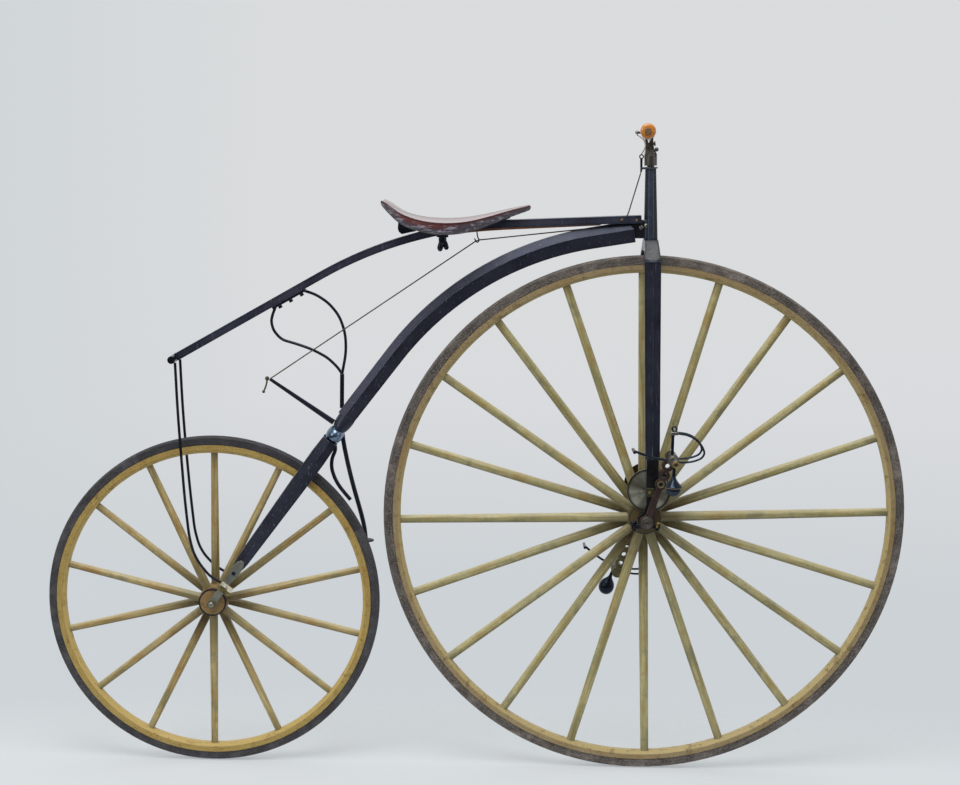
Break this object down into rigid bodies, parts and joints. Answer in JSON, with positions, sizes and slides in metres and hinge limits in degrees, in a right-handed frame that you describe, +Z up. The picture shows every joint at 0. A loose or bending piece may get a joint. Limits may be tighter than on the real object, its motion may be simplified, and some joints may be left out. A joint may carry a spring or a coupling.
{
  "type": "penny farthing bicycle",
  "caption": "Penny farthing bicycle with spoked wooden wheels, a high driven front wheel, a curved iron backbone, a spring bar saddle, weighted pedals and a cord brake.",
  "frame": {"origin": "point on top of the saddle where the rider sits, in the middle plane", "axes": "+X forward, +Y to the rider's left, +Z up; the wheels stand 1.169 m below the origin"},
  "size_m": [1.8099, 0.5724, 1.3674],
  "materials": {
    "frame_paint": "glossy navy black paint over iron",
    "dark_iron": "dark worn iron",
    "worn_iron": "bare iron with rust",
    "grey_iron": "grey iron",
    "brass": "dull brass",
    "rim_paint": "ochre paint on wood",
    "spoke_paint": "olive cream paint on wood",
    "front_tyre": "dusty solid rubber",
    "rear_tyre": "charcoal solid rubber",
    "saddle_leather": "glossy red brown leather",
    "grip_wood": "varnished orange wood",
    "cord": "twisted hemp cord"
  },
  "bodies": {
    "frame": {"backbone": "frame_paint", "head_tube": "frame_paint", "spring_bar": "frame_paint", "spring_strip": "worn_iron", "spring_loops": "frame_paint", "loop_plate": "frame_paint", "stays": "frame_paint", "plate_fittings": "brass", "rear_fork_neck": "frame_paint", "rear_fork_blades": "frame_paint", "rear_fork_plates": "grey_iron", "rear_axle": "grey_iron", "saddle_pad": "saddle_leather", "saddle_pan": "dark_iron", "saddle_block": "dark_iron", "saddle_clamp": "dark_iron", "brake_lever": "frame_paint", "step": "frame_paint", "brake_cord": "cord", "cord_knot": "cord", "cord_link": "dark_iron", "cord_hook": "dark_iron"},
    "steering": {"fork_crown": "frame_paint", "fork_blades": "frame_paint", "fork_irons": "dark_iron", "hub_discs": "grey_iron", "disc_nuts": "brass", "stem_collar": "dark_iron", "stem_neck": "frame_paint", "handlebar": "dark_iron", "grips": "grip_wood", "grip_caps": "dark_iron", "brake_cord_top": "cord"},
    "front_wheel": {"front_tyre": "front_tyre", "front_rim": "rim_paint", "front_spokes": "spoke_paint", "front_hub": "rim_paint", "front_hub_bands": "dark_iron", "front_axle": "grey_iron", "crank_right": "dark_iron", "crank_left": "dark_iron"},
    "pedal_right": {"pedal_sleeve_right": "dark_iron", "toe_frame_right": "dark_iron", "pedal_weight_right": "dark_iron"},
    "pedal_left": {"pedal_sleeve_left": "dark_iron", "toe_frame_left": "dark_iron", "pedal_weight_left": "dark_iron"},
    "rear_wheel": {"rear_tyre": "rear_tyre", "rear_rim": "rim_paint", "rear_spokes": "spoke_paint", "rear_hub": "rim_paint", "rear_hub_bands": "dark_iron"}
  },
  "joints": [
    {"name": "steering_turn", "type": "hinge", "parent": "frame", "child": "steering", "pos_m": [0.43493, 0, -0.61929], "axis": [-0.0288, 0, 0.9996], "range_deg": [-30, 30], "deforming": ["brake_cord_top"]},
    {"name": "front_wheel_spin", "type": "hinge", "parent": "steering", "child": "front_wheel", "pos_m": [0.42092, 0, -0.61929], "axis": [0, 1, 0], "continuous": true},
    {"name": "pedal_right_spin", "type": "hinge", "parent": "front_wheel", "child": "pedal_right", "pos_m": [0.46732, -0.12, -0.4798], "axis": [0, 1, 0], "continuous": true},
    {"name": "pedal_left_spin", "type": "hinge", "parent": "front_wheel", "child": "pedal_left", "pos_m": [0.37452, 0.12, -0.75877], "axis": [0, 1, 0], "continuous": true},
    {"name": "rear_wheel_spin", "type": "hinge", "parent": "frame", "child": "rear_wheel", "pos_m": [-0.48707, 0, -0.81729], "axis": [0, 1, 0], "continuous": true}
  ]
}
